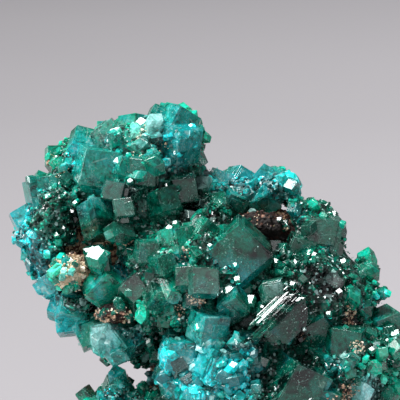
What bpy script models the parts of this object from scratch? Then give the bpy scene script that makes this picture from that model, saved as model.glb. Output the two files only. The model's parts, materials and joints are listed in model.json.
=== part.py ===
"""Dioptase specimen: green crystals grown together over a piece of matrix rock.

Metres, +Z up. The crystals cover the front, which faces -Y, the top and both sides.
The rock shows at the back, underneath and in a few hollows of the front.
The origin is on the flat trimmed base, near the middle of the specimen.

Places in the lists below are in millimetres, square to a line of sight that meets the
front and looks down by SIGHT_DOWN: right, up, and toward the viewer.
"""

import math
import random

import bmesh
import bpy
from mathutils import Matrix, Vector, noise

MM = 0.001
SEED = 11
SIGHT_DOWN = math.radians(8.0)

# Dioptase grows as a six-sided prism that ends in three faces of a rhombohedron, each of them
# nearly square and set over every second edge of the prism.
PRISM_SIDES = 6
END_FACES = 3
RHOMB_TILT = math.radians(51.0)
TIP_ABOVE_HEAD = 0.62

# How a lump starts: the steps of its icosphere, its bumps as a share of its radius, how far
# apart they are in mm, and how far out its flat breaks lie as a share of the radius.
ROCK_DETAIL = 2
CRUST_DETAIL = 2
ROUGH_SHARE = 0.16
ROUGH_SPACING = 4.5
BREAK_DEPTH = (0.80, 0.95)

# Space between the rock and the crystals, and the block that ends at the flat base, in mm.
TOUCH_GAP = 0.42
BLOCK_SIDE = 120.0

# An end face may lie this share of the width further in or out than its neighbours.
UNEVEN_ENDS = (-0.10, 0.02)

# Small crystals that fill the space between the large ones, in mm and as shares.
GROWN_SPACING = 4.64
GROWN_WIDTH = (2.2, 3.8)
GROWN_LENGTH_SHARE = 1.7
GROWN_RISE_SHARE = 0.10
GROWN_LEAN = 0.55
BARE_BACK = 5.5
BARE_BASE = 1.0
NEAR_LARGE = 2.4
JUST_INSIDE = 1.04
GOLDEN_ANGLE = math.pi * (3.0 - math.sqrt(5.0))

# Rock lumps: place, half sizes across, up and deep, and the number of flat broken faces.
ROCK_LUMPS = [
    ((0.5, 2.4, -3.0), (16.5, 7.0, 11.0), 16),
    ((9.5, 9.0, -4.0), (11.4, 11.4, 9.4), 16),
    ((-9.5, 25.2, -4.5), (10.8, 11.8, 8.0), 16),
    ((-3.2, 16.4, -5.0), (8.0, 9.6, 8.4), 12),
    ((4.0, 21.5, -4.5), (10.0, 9.4, 8.6), 16),
    ((-17.6, 22.0, 3.0), (2.8, 2.6, 6.6), 10),
    ((4.5, 27.4, -0.8), (4.0, 2.0, 4.6), 10),
    ((-12.5, 17.3, 4.0), (2.9, 1.6, 6.2), 10),
]

# Broad faces where the rock broke off at the back: a place on each and the way it faces.
BROKEN_FACES = [
    ((0.0, 8.0, -12.2), (0.10, -0.20, -1.00)),
    ((-8.0, 26.0, -11.2), (-0.22, 0.10, -1.00)),
    ((6.0, 22.0, -11.0), (0.25, 0.30, -1.00)),
    ((16.5, 8.0, -8.5), (0.80, 0.10, -0.60)),
    ((-9.0, 13.0, -8.0), (-0.80, -0.35, -0.50)),
]

# Steps in the broken back: middle, size across, up and deep, and turn in degrees.
LEDGES = [
    ((3.0, 17.0, -14.0), (15.0, 5.0, 8.0), 14),
    ((-9.0, 33.0, -12.6), (12.0, 8.0, 6.0), -10),
    ((8.0, 4.0, -14.2), (12.0, 6.0, 6.0), -8),
]

# Lumps of massive dioptase that the crystals stand on, in the same terms.
CRUST_LUMPS = [
    ((-10.8, 32.8, -1.5), (8.4, 8.0, 7.5), 4),
    ((-16.6, 34.0, -2.0), (4.2, 4.6, 5.5), 3),
    ((-5.4, 38.0, -1.5), (3.2, 4.0, 4.2), 2),
    ((-20.5, 26.8, -1.0), (3.9, 6.4, 6.0), 3),
    ((-17.0, 19.2, 0.0), (4.0, 3.8, 6.0), 3),
    ((-11.0, 15.6, 1.5), (4.2, 4.2, 6.5), 3),
    ((-4.0, 21.5, 1.5), (9.5, 8.5, 10.0), 4),
    ((9.0, 18.6, 0.5), (9.6, 8.0, 9.6), 4),
    ((-2.6, 31.0, -3.0), (4.0, 4.0, 4.5), 2),
    ((1.8, 31.6, -4.5), (3.8, 3.0, 4.8), 2),
    ((6.4, 31.8, -4.5), (3.2, 2.8, 4.6), 2),
    ((10.6, 27.6, -2.0), (3.4, 3.4, 5.0), 2),
    ((12.4, 25.2, -0.5), (2.6, 3.6, 5.0), 2),
    ((2.4, 8.6, 2.5), (10.2, 8.6, 10.2), 4),
    ((14.6, 9.4, 1.0), (8.2, 8.4, 9.6), 4),
    ((-12.9, 5.0, 0.0), (2.8, 4.4, 6.5), 3),
    ((-8.0, 4.0, 2.0), (4.6, 4.2, 7.5), 3),
]

# Large crystals: place of the head, direction of the tip, turn in degrees from the one that
# leans an end face toward the viewer, width across flats, and length.
# Upper left lobe.
LARGE_CRYSTALS = [
    ((-15.4, 35.4, 4.4), (-0.30, 0.55, 0.75), 10, 6.4, 9.0),
    ((-17.0, 38.4, 1.0), (-0.25, 0.90, 0.35), 30, 4.0, 7.0),
    ((-13.4, 39.2, 1.5), (0.10, 0.80, 0.60), 0, 4.4, 7.0),
    ((-10.4, 40.0, 1.2), (0.00, 0.75, 0.66), 60, 4.2, 7.0),
    ((-7.6, 41.0, 0.0), (-0.20, 0.90, 0.40), 20, 4.4, 7.0),
    ((-5.4, 40.6, 0.8), (0.20, 0.70, 0.65), 50, 5.4, 8.0),
    ((-5.2, 36.0, 3.0), (-0.10, -0.80, 0.55), 60, 5.2, 7.0),
    ((-20.4, 36.4, -1.0), (-0.50, 0.70, 0.50), 20, 3.2, 6.0),
    ((-22.2, 32.0, 1.0), (-0.55, 0.50, 0.66), 15, 5.2, 8.0),
    ((-21.8, 33.2, -0.8), (-0.20, 0.90, 0.40), 20, 3.4, 6.0),
    ((-13.2, 32.3, 7.0), (-0.42, 0.65, 0.63), 0, 3.2, 4.0),
    ((-11.2, 30.3, 7.6), (0.45, 0.64, 0.62), 0, 3.1, 4.0),
    ((-15.2, 29.8, 6.0), (-0.20, 0.80, 0.55), 60, 4.2, 7.0),
    ((-8.6, 34.6, 5.6), (0.45, 0.40, 0.80), 0, 4.6, 7.0),
    ((-7.4, 31.0, 6.4), (-0.30, 0.60, 0.70), 50, 4.2, 6.0),
    ((-4.0, 32.6, 3.6), (0.60, 0.50, 0.60), 20, 4.4, 7.0),
    ((-11.6, 35.0, 5.4), (-0.10, 0.75, 0.65), 30, 3.4, 6.0),
]

# Left edge and left middle.
LARGE_CRYSTALS += [
    ((-24.4, 28.6, 0.0), (-0.75, 0.30, 0.60), 10, 4.2, 6.0),
    ((-22.0, 24.8, 1.5), (-0.60, -0.10, 0.75), 35, 4.0, 6.0),
    ((-21.4, 20.8, 1.0), (-0.70, 0.20, 0.66), 0, 3.8, 5.0),
    ((-20.0, 17.6, 0.5), (-0.75, -0.10, 0.60), 30, 3.8, 6.0),
    ((-13.4, 27.0, 7.4), (-0.90, 0.20, 0.40), 0, 2.4, 5.0),
    ((-13.8, 22.9, 7.8), (0.61, -0.56, 0.56), 12, 2.9, 5.0),
    ((-13.8, 21.2, 7.4), (0.15, 0.40, 0.88), 30, 5.2, 7.0),
    ((-18.6, 17.6, 3.6), (-0.50, -0.20, 0.80), 15, 4.0, 6.0),
    ((-19.0, 15.4, 1.5), (-0.60, -0.50, 0.60), 20, 3.8, 6.0),
    ((-16.2, 13.8, 3.0), (-0.30, -0.60, 0.70), 10, 3.8, 6.0),
    ((-14.6, 14.8, 5.0), (-0.55, 0.45, 0.66), 0, 4.4, 6.0),
    ((-11.6, 13.6, 6.0), (0.30, -0.20, 0.90), 40, 5.4, 7.0),
    ((-10.4, 21.0, 8.4), (0.00, 0.78, 0.62), 0, 3.8, 6.0),
]

# Centre, from the ridge up to the hollow and the big rhombohedron beside it.
LARGE_CRYSTALS += [
    ((-5.6, 19.0, 10.6), (0.35, -0.90, 0.30), 0, 2.0, 5.0),
    ((-1.4, 21.8, 11.8), (0.55, 0.55, 0.63), 0, 4.5, 6.0),
    ((-4.9, 22.2, 11.6), (-0.55, 0.50, 0.66), 0, 3.2, 5.0),
    ((-5.4, 26.4, 9.8), (-0.10, 0.60, 0.80), 60, 4.4, 6.0),
    ((-9.2, 25.0, 9.2), (-0.40, 0.50, 0.80), 5, 3.6, 6.0),
    ((-2.0, 27.6, 8.4), (0.30, 0.70, 0.66), 45, 3.8, 6.0),
    ((-1.8, 24.6, 9.4), (0.40, 0.45, 0.80), 20, 3.8, 6.0),
    ((0.2, 27.0, 7.6), (-0.10, 0.80, 0.60), 50, 3.2, 6.0),
    ((-7.2, 23.4, 11.0), (-0.35, 0.45, 0.82), 35, 3.2, 6.0),
    ((-7.8, 19.2, 10.6), (-0.15, -0.10, 0.95), 15, 3.4, 6.0),
    ((2.0, 25.9, 8.8), (0.02, 0.70, 0.71), 0, 8.0, 10.0),
    ((6.4, 20.6, 10.2), (0.40, 0.60, 0.70), 0, 3.4, 5.0),
    ((1.4, 18.8, 11.0), (0.10, 0.30, 0.95), 10, 4.0, 6.0),
]

# Right side, with the dark glassy crystals.
LARGE_CRYSTALS += [
    ((9.2, 18.6, 8.8), (0.69, 0.65, -0.33), 56, 5.0, 9.0),
    ((11.2, 15.8, 7.2), (0.30, 0.40, 0.86), 30, 7.6, 10.0),
    ((11.3, 27.3, 2.8), (-0.42, 0.58, 0.70), 0, 6.1, 8.0),
    ((9.0, 25.4, 3.6), (-0.30, 0.60, 0.75), 0, 4.2, 6.0),
    ((14.6, 22.8, 2.4), (0.60, 0.50, 0.60), 40, 3.6, 6.0),
    ((15.8, 19.8, 3.0), (0.75, 0.50, 0.45), 10, 4.4, 7.0),
    ((20.2, 16.3, 1.6), (0.60, 0.60, 0.50), 35, 5.0, 7.0),
    ((15.4, 14.4, 8.4), (0.50, 0.40, 0.76), 0, 5.2, 7.0),
    ((8.4, 10.0, 11.2), (0.05, 0.60, 0.80), 30, 8.0, 9.0),
    ((12.8, 7.2, 10.4), (0.55, 0.30, 0.78), 0, 5.8, 8.0),
    ((16.8, 8.2, 8.6), (0.95, 0.15, 0.30), 15, 3.2, 6.0),
    ((22.0, 9.0, 1.0), (0.85, 0.30, 0.45), 45, 5.0, 7.0),
    ((20.4, 4.4, 5.0), (0.65, -0.20, 0.70), 20, 5.2, 7.0),
    ((21.6, 12.4, -2.5), (0.80, 0.50, 0.10), 20, 4.6, 7.0),
]

# Turquoise crystals at the top right, behind the hollow.
LARGE_CRYSTALS += [
    ((-0.4, 33.4, -2.6), (-0.20, 0.75, 0.60), 10, 4.0, 6.0),
    ((2.2, 33.7, -3.4), (0.10, 0.85, 0.50), 35, 4.4, 6.0),
    ((5.2, 33.9, -4.0), (-0.10, 0.85, 0.50), 0, 4.2, 6.0),
    ((7.4, 33.1, -3.8), (0.55, 0.65, 0.50), 50, 4.2, 6.0),
    ((5.2, 31.0, -1.5), (0.20, 0.40, 0.88), 25, 4.2, 6.0),
    ((1.2, 30.8, -0.5), (-0.10, 0.40, 0.90), 5, 3.8, 6.0),
    ((10.8, 29.0, -1.0), (0.40, 0.75, 0.50), 20, 4.0, 6.0),
]

# Lower front, a mass of lighter crystals, and the small lobe at the lower left.
LARGE_CRYSTALS += [
    ((-1.8, 16.2, 11.8), (-0.10, 0.40, 0.90), 30, 5.0, 6.0),
    ((-5.6, 13.2, 10.4), (-0.40, 0.45, 0.80), 0, 5.0, 7.0),
    ((-0.6, 12.0, 12.2), (0.10, 0.65, 0.75), 45, 5.2, 7.0),
    ((3.4, 13.4, 12.0), (0.30, 0.20, 0.92), 15, 4.6, 6.0),
    ((-2.8, 8.0, 11.8), (-0.10, 0.30, 0.95), 30, 5.4, 7.0),
    ((-6.4, 9.2, 9.4), (-0.60, 0.40, 0.66), 10, 3.8, 6.0),
    ((-12.9, 8.8, 2.0), (-0.30, 0.60, 0.75), 0, 3.8, 6.0),
    ((-12.6, 10.4, 3.4), (-0.20, 0.95, 0.20), 0, 2.2, 5.0),
    ((-14.0, 5.6, 1.5), (-0.75, 0.40, 0.50), 35, 4.0, 6.0),
    ((-9.6, 4.2, 7.5), (-0.40, 0.30, 0.86), 20, 4.8, 7.0),
    ((2.2, 4.6, 12.0), (0.00, 0.20, 0.97), 5, 5.6, 7.0),
    ((16.0, 3.4, 9.0), (0.20, -0.20, 0.95), 40, 5.2, 7.0),
    ((-3.6, 3.4, 11.0), (-0.30, -0.20, 0.90), 15, 4.6, 7.0),
]

# Upper back edge, out of sight from the front.
LARGE_CRYSTALS += [
    ((-13.6, 37.2, -5.0), (-0.30, 0.80, -0.50), 0, 4.4, 7.0),
    ((-8.6, 38.6, -5.0), (0.20, 0.85, -0.45), 30, 4.6, 7.0),
    ((-19.6, 32.4, -5.0), (-0.70, 0.50, -0.50), 20, 4.2, 7.0),
    ((-3.4, 36.6, -5.0), (0.60, 0.50, -0.60), 10, 4.2, 7.0),
    ((-23.0, 25.4, -3.5), (-0.85, 0.10, -0.45), 40, 4.0, 6.0),
    ((13.2, 23.0, -3.0), (0.70, 0.50, -0.40), 15, 4.0, 6.0),
    ((17.4, 17.0, -4.0), (0.75, 0.55, -0.30), 30, 4.4, 6.0),
]


def seen(right, up, toward):
    """A point given square to the line of sight, in world coordinates."""
    rise = up * math.cos(SIGHT_DOWN) + toward * math.sin(SIGHT_DOWN)
    depth = up * math.sin(SIGHT_DOWN) - toward * math.cos(SIGHT_DOWN)
    return Vector((right, depth, rise)) * MM


def lump_axes(lump):
    """The centre of a lump and its three half axes, in world coordinates."""
    place, half, _ = lump
    centre = seen(*place)
    across = seen(half[0], 0.0, 0.0)
    upward = seen(0.0, half[1], 0.0)
    deep = seen(0.0, 0.0, half[2])
    return centre, across, upward, deep


def roughness(point):
    """Low bumps that every lump has where the point lies."""
    return 1.0 + ROUGH_SHARE * noise.noise(point / (ROUGH_SPACING * MM))


def on_lump(lump, direction):
    """The point of a lump's surface in a direction given in the lump's own axes."""
    centre, across, upward, deep = lump_axes(lump)
    reach = across * direction.x + upward * direction.y + deep * direction.z
    return centre + reach * roughness(centre + reach)


def lump_depth(lump, point):
    """How deep a point is in a lump: below 1 is inside."""
    centre, across, upward, deep = lump_axes(lump)
    offset = point - centre
    parts = [offset.dot(axis) / axis.length_squared for axis in (across, upward, deep)]
    return math.sqrt(sum(part * part for part in parts))


def cut_off(solid, point, normal):
    """Take away what lies beyond a plane, and close the cut with one face."""
    everything = solid.verts[:] + solid.edges[:] + solid.faces[:]
    cut = bmesh.ops.bisect_plane(
        solid, geom=everything, plane_co=point, plane_no=normal, clear_outer=True)
    edges = [item for item in cut["geom_cut"] if isinstance(item, bmesh.types.BMEdge)]
    if edges:
        bmesh.ops.contextual_create(solid, geom=edges)


def add_solid(shape, solid):
    """Move a finished closed solid into the working mesh."""
    loose = bpy.data.meshes.new("one_solid")
    solid.to_mesh(loose)
    solid.free()
    shape.from_mesh(loose)
    bpy.data.meshes.remove(loose)


def add_lump(shape, lump, detail, grow=0.0):
    """A rough lump, from an icosphere with flat breaks across it."""
    draw = random.Random(SEED + round(lump[0][0] * 10.0))
    lump_solid = bmesh.new()
    bmesh.ops.create_icosphere(lump_solid, subdivisions=detail, radius=1.0)
    for vertex in lump_solid.verts:
        vertex.co = on_lump(lump, vertex.co.normalized())
    lump_solid.normal_update()
    moves = [vertex.normal * grow * MM for vertex in lump_solid.verts]
    for vertex, move in zip(lump_solid.verts, moves):
        vertex.co += move
    centre, across, upward, deep = lump_axes(lump)
    for _ in range(lump[2]):
        side = Vector([draw.gauss(0.0, 1.0) for _ in range(3)]).normalized()
        reach = Vector()
        normal = Vector()
        for axis, share in zip((across, upward, deep), side):
            reach += axis * share
            normal += axis * share / axis.length_squared
        normal.normalize()
        depth = draw.uniform(*BREAK_DEPTH)
        cut_off(lump_solid, centre + reach * depth + normal * grow * MM, normal)
    add_solid(shape, lump_solid)


def turned_to(tip, turn):
    """The rotation that lays a crystal's long axis along its tip direction."""
    axis = seen(*tip).normalized()
    viewer = seen(0.0, 0.0, 1.0).normalized()
    lean = (viewer - axis * viewer.dot(axis)).normalized()
    upright = Matrix((lean, axis.cross(lean), axis)).transposed().to_4x4()
    return upright @ Matrix.Rotation(math.radians(turn), 4, "Z")


def crystal_mesh(width, length, draw):
    """One crystal along Z, its head at the origin, with three faces on each end."""
    radius = width / math.sqrt(3.0)
    tip_height = TIP_ABOVE_HEAD * radius
    crystal = bmesh.new()
    middle = Matrix.Translation((0.0, 0.0, tip_height - length / 2.0))
    bmesh.ops.create_cone(
        crystal, cap_ends=True, segments=PRISM_SIDES, radius1=radius, radius2=radius, depth=length,
        matrix=middle @ Matrix.Rotation(math.pi / PRISM_SIDES, 4, "Z"))
    for end in (1.0, -1.0):
        peak = tip_height if end > 0.0 else tip_height - length
        for step in range(END_FACES):
            around = math.tau * (step + (0.0 if end > 0.0 else 0.5)) / END_FACES
            normal = Vector((
                math.sin(RHOMB_TILT) * math.cos(around),
                math.sin(RHOMB_TILT) * math.sin(around),
                math.cos(RHOMB_TILT) * end))
            shift = draw.uniform(*UNEVEN_ENDS) * width
            cut_off(crystal, Vector((0.0, 0.0, peak)) + normal * shift, normal)
    bmesh.ops.recalc_face_normals(crystal, faces=crystal.faces)
    return crystal


def add_crystal(shape, place, rotation, width, length, draw):
    """Add one crystal with its head at a place."""
    crystal = crystal_mesh(width * MM, length * MM, draw)
    crystal.transform(Matrix.Translation(place) @ rotation)
    add_solid(shape, crystal)


def grown_places():
    """Points all over the outer crust, with the direction that points away from it."""
    near_large = [seen(*entry[0]) for entry in LARGE_CRYSTALS]
    for lump in CRUST_LUMPS:
        half = lump[1]
        mean = (half[0] + half[1] + half[2]) / 3.0
        count = round(4.0 * math.pi * mean * mean / (GROWN_SPACING * GROWN_SPACING))
        for index in range(count):
            height = 1.0 - 2.0 * (index + 0.5) / count
            ring = math.sqrt(1.0 - height * height)
            around = GOLDEN_ANGLE * index
            direction = Vector((ring * math.cos(around), height, ring * math.sin(around)))
            point = on_lump(lump, direction)
            others = [other for other in CRUST_LUMPS + ROCK_LUMPS if other is not lump]
            buried = any(lump_depth(other, point) < JUST_INSIDE for other in others)
            behind = point.y > BARE_BACK * MM
            below = point.z < BARE_BASE * MM
            covered = any((point - place).length < NEAR_LARGE * MM for place in near_large)
            if not (buried or behind or below or covered):
                centre = lump_axes(lump)[0]
                yield point, (point - centre).normalized()


def joined(name, shape):
    """An object made of one working mesh."""
    mesh = bpy.data.meshes.new(name)
    shape.to_mesh(mesh)
    shape.free()
    return bpy.data.objects.new(name, mesh)


def apply_boolean(target, cutter, operation):
    """Combine two closed objects, also where either one's own parts overlap."""
    step = target.modifiers.new("combine", "BOOLEAN")
    step.operation = operation
    step.solver = "EXACT"
    step.use_self = True
    step.object = cutter
    bpy.context.view_layer.update()
    evaluated = target.evaluated_get(bpy.context.evaluated_depsgraph_get())
    mesh = bpy.data.meshes.new_from_object(evaluated)
    target.modifiers.clear()
    target.data = mesh


def keep_largest(target):
    """Keep only the largest closed piece, without crumbs or closed pockets."""
    shape = bmesh.new()
    shape.from_mesh(target.data)
    unseen = set(shape.faces)
    pieces = []
    while unseen:
        piece = {unseen.pop()}
        front = list(piece)
        while front:
            face = front.pop()
            for edge in face.edges:
                for other in edge.link_faces:
                    if other in unseen:
                        unseen.discard(other)
                        piece.add(other)
                        front.append(other)
        pieces.append(piece)
    pieces.sort(key=len)
    for piece in pieces[:-1]:
        bmesh.ops.delete(shape, geom=list(piece), context="FACES")
    shape.to_mesh(target.data)
    shape.free()


def material(name, colour, roughness_value):
    """A plain stone or crystal finish."""
    made = bpy.data.materials.new(name)
    made.use_nodes = True
    shader = made.node_tree.nodes["Principled BSDF"]
    shader.inputs["Base Color"].default_value = (*colour, 1.0)
    shader.inputs["Roughness"].default_value = roughness_value
    shader.inputs["Metallic"].default_value = 0.0
    return made


def above_base():
    """A block that holds everything above the flat base."""
    shape = bmesh.new()
    side = BLOCK_SIDE * MM
    bmesh.ops.create_cube(shape, size=side, matrix=Matrix.Translation((0.0, 0.0, side / 2.0)))
    return joined("above_base", shape)


def add_block(shape, middle, size, turning):
    """A box with its sides given in its own turned axes."""
    sizes = Matrix.Diagonal((*size, 1.0))
    bmesh.ops.create_cube(shape, size=1.0, matrix=Matrix.Translation(middle) @ turning @ sizes)


def broken_away(grow=0.0):
    """All that broke off the back of the rock: blocks behind broad faces, and steps."""
    shape = bmesh.new()
    whole = Vector((BLOCK_SIDE, BLOCK_SIDE, BLOCK_SIDE)) * MM
    for place, facing in BROKEN_FACES:
        outward = seen(*facing).normalized()
        turning = outward.to_track_quat("Z", "Y").to_matrix().to_4x4()
        start = seen(*place) + outward * grow * MM
        add_block(shape, start + outward * whole.z / 2.0, whole, turning)
    for middle, size, turn in LEDGES:
        side, height, depth = size
        turning = Matrix.Rotation(math.radians(turn), 4, "Y") @ Matrix.Rotation(-SIGHT_DOWN, 4, "X")
        smaller = Vector((side - grow, depth - grow, height - grow)) * MM
        add_block(shape, seen(*middle), smaller, turning)
    return joined("broken_away", shape)


def rock(grow=0.0):
    """The matrix rock, or a copy that is larger all over."""
    shape = bmesh.new()
    for lump in ROCK_LUMPS:
        add_lump(shape, lump, ROCK_DETAIL, grow)
    return joined("matrix" if not grow else "matrix_space", shape)


def crystals():
    """The crust and every crystal that grows on it, not yet fused."""
    draw = random.Random(SEED)
    shape = bmesh.new()
    for lump in CRUST_LUMPS:
        add_lump(shape, lump, CRUST_DETAIL)
    for place, tip, turn, width, length in LARGE_CRYSTALS:
        add_crystal(shape, seen(*place), turned_to(tip, turn), width, length, draw)
    for point, outward in grown_places():
        lean = Vector((draw.uniform(-1, 1), draw.uniform(-1, 1), draw.uniform(-1, 1)))
        axis = (outward + lean * GROWN_LEAN).normalized()
        upright = axis.to_track_quat("Z", "Y").to_matrix().to_4x4()
        turned = upright @ Matrix.Rotation(draw.uniform(0.0, math.tau), 4, "Z")
        width = draw.uniform(*GROWN_WIDTH)
        place = point + axis * width * GROWN_RISE_SHARE * MM
        add_crystal(shape, place, turned, width, width * GROWN_LENGTH_SHARE, draw)
    return joined("dioptase_crystals", shape)


def build():
    """Clear the scene and build both solids."""
    for old in list(bpy.data.objects):
        bpy.data.objects.remove(old, do_unlink=True)
    parts = bpy.data.collections.new("dioptase_specimen")
    cutters = bpy.data.collections.new("cutters")
    bpy.context.scene.collection.children.link(parts)
    bpy.context.scene.collection.children.link(cutters)

    block = above_base()
    space = rock(grow=TOUCH_GAP)
    broken = broken_away()
    broken_space = broken_away(grow=TOUCH_GAP)
    for cutter in (block, space, broken, broken_space):
        cutters.objects.link(cutter)
        cutter.hide_render = True
        cutter.display_type = "WIRE"
    apply_boolean(space, broken_space, "DIFFERENCE")

    matrix = rock()
    parts.objects.link(matrix)
    apply_boolean(matrix, block, "INTERSECT")
    apply_boolean(matrix, broken, "DIFFERENCE")
    keep_largest(matrix)
    matrix.data.materials.clear()
    matrix.data.materials.append(material("matrix_rock", (0.42, 0.29, 0.20), 0.9))

    cluster = crystals()
    parts.objects.link(cluster)
    apply_boolean(cluster, block, "INTERSECT")
    apply_boolean(cluster, space, "DIFFERENCE")
    keep_largest(cluster)
    cluster.data.materials.clear()
    cluster.data.materials.append(material("dioptase", (0.01, 0.20, 0.13), 0.15))


build()
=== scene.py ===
"""Dioptase specimen: the finish, the fine crystals, the light and the camera."""

import json
import math
import random

import bpy
import numpy as np
from mathutils import Matrix, Vector, noise
from mathutils.bvhtree import BVHTree

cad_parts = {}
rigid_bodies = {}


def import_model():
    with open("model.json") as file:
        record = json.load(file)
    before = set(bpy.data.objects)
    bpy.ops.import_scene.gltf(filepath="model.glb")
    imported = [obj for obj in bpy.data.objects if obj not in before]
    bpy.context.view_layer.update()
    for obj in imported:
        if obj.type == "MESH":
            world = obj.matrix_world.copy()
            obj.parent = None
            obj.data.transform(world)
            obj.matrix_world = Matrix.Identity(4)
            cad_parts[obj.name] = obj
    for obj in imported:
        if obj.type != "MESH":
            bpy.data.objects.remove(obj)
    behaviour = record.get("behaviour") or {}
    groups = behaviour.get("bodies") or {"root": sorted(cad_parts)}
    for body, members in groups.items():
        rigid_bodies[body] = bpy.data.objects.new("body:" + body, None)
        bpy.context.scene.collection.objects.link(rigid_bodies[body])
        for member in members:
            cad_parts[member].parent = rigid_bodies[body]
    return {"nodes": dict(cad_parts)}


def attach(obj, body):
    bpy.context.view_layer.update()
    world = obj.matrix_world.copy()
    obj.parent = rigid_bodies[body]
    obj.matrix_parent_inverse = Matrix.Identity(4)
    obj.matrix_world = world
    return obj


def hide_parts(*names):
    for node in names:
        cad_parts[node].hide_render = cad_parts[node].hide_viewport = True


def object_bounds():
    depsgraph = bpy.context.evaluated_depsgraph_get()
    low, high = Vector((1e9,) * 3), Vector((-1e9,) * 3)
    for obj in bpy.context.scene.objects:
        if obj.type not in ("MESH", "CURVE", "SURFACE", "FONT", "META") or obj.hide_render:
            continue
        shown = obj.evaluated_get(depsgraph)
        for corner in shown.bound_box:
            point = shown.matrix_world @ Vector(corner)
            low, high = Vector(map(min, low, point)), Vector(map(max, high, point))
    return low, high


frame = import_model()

cad_low, cad_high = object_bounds()


# Matrix rock.
# The real piece is limonite-stained quartz and calcite that broke out of the vein, cream to
# red-brown. Its fresh break is granular, and the crystals sit on it with no join to see.
MM = 0.001
MERGE_REACH = 0.001 * MM
ROCK_GRID = 0.26 * MM
ROCK_SINK = 0.22 * MM
ROCK_STAIN = 3.85 * MM
ROCK_GRAIN = 0.30 * MM
ROCK_GRAIN_DEPTH = 0.2 * MM
ROCK_GRAIN_TONE = 0.34
FRESH_TONE = 0.35
STAIN_AND_SHADE_TONE = 0.30
ROCK_CREAM = "#E6D6BA"
ROCK_TAN = "#B99C7B"
ROCK_RUST = "#5E3122"
ROCK_DARK = "#1C1411"

# Spacing and height in mm of each size of bump, and the noise value that flattens its top.
ROCK_BUMPS = ((2.4, 0.7), (1.0, 0.5), (0.5, 0.3))
BUMP_TOP = 0.25

# The line of sight, from 60 mm in front. A line that misses the specimen ends 3 mm in front
# of its middle.
SIGHT_DOWN = math.radians(8.0)
SIGHT_START = 60.0
MISSED_END = 3.0

# Where the specimen is dark, partly its own deep colour and partly painted shade as in the
# hollow, and where pale grains of calcite lie: the place in mm across and up as the camera sees
# it, the reach in mm and the strength, which ends at 1.6 reaches.
ZONE_END = 1.6
DARK_AND_SHADED_ZONES = [
    (-5.0, 31.6, 4.2, 0.75), (5.2, 27.8, 4.0, 1.0), (-10.6, 22.6, 1.8, 0.3),
    (-13.2, 17.4, 2.4, 0.75), (-18.4, 24.2, 1.5, 0.6), (-3.0, 24.0, 4.0, 0.15),
    (8.6, 18.0, 4.6, 0.75), (2.2, 13.6, 1.5, 0.8), (9.0, 9.6, 4.8, 0.75),
    (12.4, 22.0, 4.0, 0.6), (17.6, 15.0, 3.6, 0.6), (-11.0, 29.2, 2.6, 0.5),
    (4.4, 24.8, 2.0, 0.9), (-17.6, 28.0, 2.0, 0.5), (15.4, 3.6, 4.0, 0.6),
]
CALCITE_ZONES = [
    (-18.0, 21.5, 2.3, 0.9), (-3.2, 19.0, 0.9, 0.7), (-5.2, 17.5, 0.7, 0.7),
    (-13.2, 16.6, 0.8, 0.8), (-20.4, 35.2, 0.7, 0.9), (-18.5, 33.2, 1.0, 0.8),
    (9.4, 14.4, 1.0, 0.5), (-9.4, 29.4, 0.8, 0.4), (-15.2, 25.4, 0.8, 0.5),
    (14.8, 8.4, 1.1, 0.7), (12.6, 7.2, 0.7, 0.6), (-11.0, 25.6, 0.6, 0.6),
    (-4.4, 24.6, 0.6, 0.5), (-12.1, 11.0, 0.7, 0.7), (15.0, 16.9, 1.1, 0.8),
    (15.9, 13.4, 0.9, 0.7), (-9.1, 37.6, 2.2, 0.45),
]


def linear(hex_colour):
    """An sRGB hex colour as linear red, green and blue with full alpha."""
    values = [int(hex_colour[start:start + 2], 16) / 255.0 for start in (1, 3, 5)]
    return [v / 12.92 if v <= 0.04045 else ((v + 0.055) / 1.055) ** 2.4 for v in values] + [1.0]


def only(piece=None):
    """Select one object alone and make it active, or leave nothing selected."""
    for other in bpy.context.view_layer.objects:
        other.select_set(False)
    if piece is not None:
        piece.select_set(True)
        bpy.context.view_layer.objects.active = piece


def in_scene(name, data):
    """A new object in the scene, made of a mesh, a light or a camera."""
    made = bpy.data.objects.new(name, data)
    bpy.context.scene.collection.objects.link(made)
    return made


def merged_copy(node_name, name):
    """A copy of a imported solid, with its loose triangles joined at their corners."""
    piece = in_scene(name, frame["nodes"][node_name].data.copy())
    piece.data.materials.clear()
    only(piece)
    bpy.ops.object.mode_set(mode="EDIT")
    bpy.ops.mesh.select_all(action="SELECT")
    bpy.ops.mesh.remove_doubles(threshold=MERGE_REACH)
    bpy.ops.object.mode_set(mode="OBJECT")
    return piece


def even_grid(piece, size):
    """Give a closed piece an even net of small faces."""
    only(piece)
    net = piece.modifiers.new("even_grid", "REMESH")
    net.mode = "VOXEL"
    net.voxel_size = size
    bpy.ops.object.modifier_apply(modifier=net.name)


def read_points(mesh, key="co"):
    """The place of each corner point of a mesh, or with "normal" the way it faces."""
    values = np.empty(len(mesh.vertices) * 3)
    mesh.vertices.foreach_get(key, values)
    return values.reshape(-1, 3)


def keep_values(mesh, name, values, domain="POINT"):
    """Keep a number or a vector on each corner point or face, for the material to read."""
    kind, key = ("FLOAT", "value") if values.ndim == 1 else ("FLOAT_VECTOR", "vector")
    layer = mesh.attributes.new(name, kind, domain)
    layer.data.foreach_set(key, values.ravel())


def roughen(piece, sink, bumps):
    """Lower a surface a little everywhere, and raise bumps of several sizes on it."""
    mesh = piece.data
    points = read_points(mesh)
    lift = np.full(len(points), -sink)
    for spacing, height in bumps:
        scale = 1.0 / (spacing * MM)
        grains = np.array([noise.noise(Vector(point) * scale) for point in points])
        lift += np.minimum(grains, BUMP_TOP) * height * MM
    points = points + read_points(mesh, "normal") * lift[:, None]
    points = np.clip(points, cad_low, cad_high)
    mesh.vertices.foreach_set("co", points.ravel())
    mesh.update()


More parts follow.
